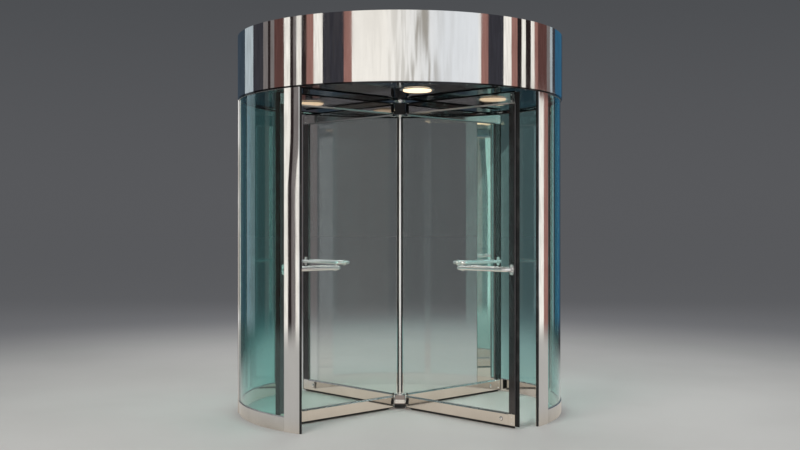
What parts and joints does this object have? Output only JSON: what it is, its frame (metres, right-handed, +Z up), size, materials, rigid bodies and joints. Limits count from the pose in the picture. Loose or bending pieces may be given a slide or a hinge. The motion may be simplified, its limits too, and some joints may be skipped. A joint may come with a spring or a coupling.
{
  "type": "revolving door",
  "caption": "Revolving door with a mirror-polished drum canopy, curved glass side walls and four glass wings that turn on a centre shaft and fold together like a book.",
  "frame": {"origin": "on the floor at the drum's centre, on the rotor's axis", "axes": "+Z up, -Y out of the front entry, +X to the right seen from the front"},
  "size_m": [2.57, 2.57, 2.938],
  "materials": {
    "polished_steel": "mirror-polished stainless steel",
    "grey_sheet": "plain grey sheet",
    "dark_anodised": "black anodised, satin",
    "dark_ceiling": "dark gloss",
    "lamp_glass": "warm lit lens",
    "black_rubber": "matte",
    "clear_glass": "clear with a green cast"
  },
  "bodies": {
    "enclosure": {"canopy_fascia_front": "polished_steel", "canopy_fascia_rear": "polished_steel", "canopy_cover": "grey_sheet", "canopy_lip": "dark_anodised", "ceiling_panel": "dark_ceiling", "downlight_trims": "polished_steel", "downlight_lenses": "lamp_glass", "rotor_bearings": "polished_steel", "front_posts": "polished_steel", "wall_posts": "polished_steel", "rear_posts": "polished_steel", "edge_guards": "black_rubber", "front_wall_glass": "clear_glass", "rear_wall_glass": "clear_glass", "front_base_rails": "polished_steel", "rear_base_rails": "polished_steel"},
    "rotor": {"centre_shaft": "polished_steel", "shaft_seals": "black_rubber", "bottom_hub": "polished_steel", "top_hub": "dark_anodised", "fold_pins": "polished_steel"},
    "wing_front_right": {"wing_front_right_glass": "clear_glass", "wing_front_right_top_rail": "polished_steel", "wing_front_right_bottom_rail": "polished_steel", "wing_front_right_stile": "dark_anodised", "wing_front_right_sweeps": "black_rubber", "wing_front_right_push_bars": "polished_steel"},
    "wing_rear_right": {"wing_rear_right_glass": "clear_glass", "wing_rear_right_top_rail": "polished_steel", "wing_rear_right_bottom_rail": "polished_steel", "wing_rear_right_stile": "dark_anodised", "wing_rear_right_sweeps": "black_rubber", "wing_rear_right_push_bars": "polished_steel"},
    "wing_rear_left": {"wing_rear_left_glass": "clear_glass", "wing_rear_left_top_rail": "polished_steel", "wing_rear_left_bottom_rail": "polished_steel", "wing_rear_left_stile": "dark_anodised", "wing_rear_left_sweeps": "black_rubber", "wing_rear_left_push_bars": "polished_steel"},
    "wing_front_left": {"wing_front_left_glass": "clear_glass", "wing_front_left_top_rail": "polished_steel", "wing_front_left_bottom_rail": "polished_steel", "wing_front_left_stile": "dark_anodised", "wing_front_left_sweeps": "black_rubber", "wing_front_left_push_bars": "polished_steel"}
  },
  "joints": [
    {"name": "rotor_turn", "type": "hinge", "parent": "enclosure", "child": "rotor", "pos_m": [0, 0, 0], "axis": [0, 0, 1], "continuous": true},
    {"name": "fold_front_right", "type": "hinge", "parent": "rotor", "child": "wing_front_right", "pos_m": [0.0538, -0.0783, 0], "axis": [0, 0, -1], "range_deg": [0, 41]},
    {"name": "fold_rear_right", "type": "hinge", "parent": "rotor", "child": "wing_rear_right", "pos_m": [0.0783, 0.0538, 0], "axis": [0, 0, -1], "range_deg": [0, 114.8]},
    {"name": "fold_rear_left", "type": "hinge", "parent": "rotor", "child": "wing_rear_left", "pos_m": [-0.0538, 0.0783, 0], "axis": [0, 0, 1], "range_deg": [0, 114.8]},
    {"name": "fold_front_left", "type": "hinge", "parent": "rotor", "child": "wing_front_left", "pos_m": [-0.0783, -0.0538, 0], "axis": [0, 0, 1], "range_deg": [0, 41]}
  ],
  "couplings": [
    {"joint": "fold_front_left", "follows": "fold_front_right", "ratio": 1},
    {"joint": "fold_rear_right", "follows": "fold_front_right", "ratio": 2.8},
    {"joint": "fold_rear_left", "follows": "fold_front_right", "ratio": 2.8}
  ]
}
